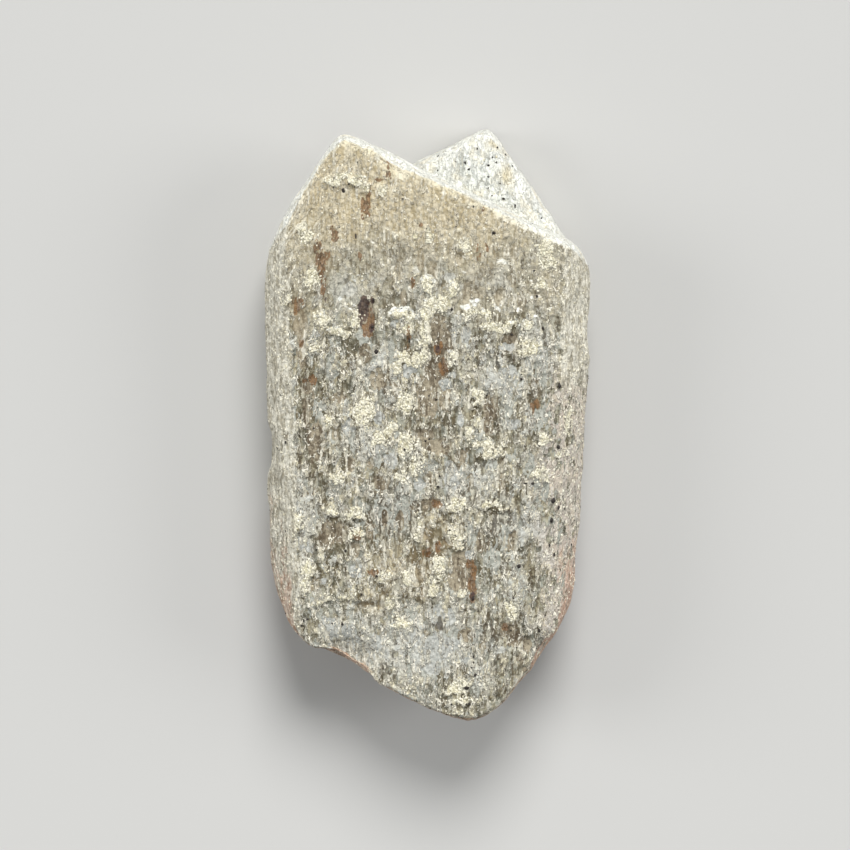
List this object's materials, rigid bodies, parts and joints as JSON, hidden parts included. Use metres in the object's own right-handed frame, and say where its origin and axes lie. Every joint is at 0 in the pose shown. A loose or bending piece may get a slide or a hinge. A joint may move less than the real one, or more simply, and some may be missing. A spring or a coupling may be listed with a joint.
{
  "type": "sanidine crystal",
  "caption": "Loose twinned feldspar crystal, a flat elongated tablet with bevelled sides and a notched end, shown as a mineral specimen lying on its flat back face.",
  "frame": {"origin": "centre of the bounding box at the height of the flat back face that the crystal rests on", "axes": "+Y along the crystal's c axis towards the notched end, +X across its width, +Z through its thickness from the back face to the front face"},
  "size_m": [0.0254, 0.046, 0.009],
  "materials": {
    "weathered_feldspar": "rough weathered feldspar, grey-brown cleavage with cream crust and rust stains"
  },
  "bodies": {
    "root": {"sanidine_crystal": "weathered_feldspar"}
  },
  "joints": []
}
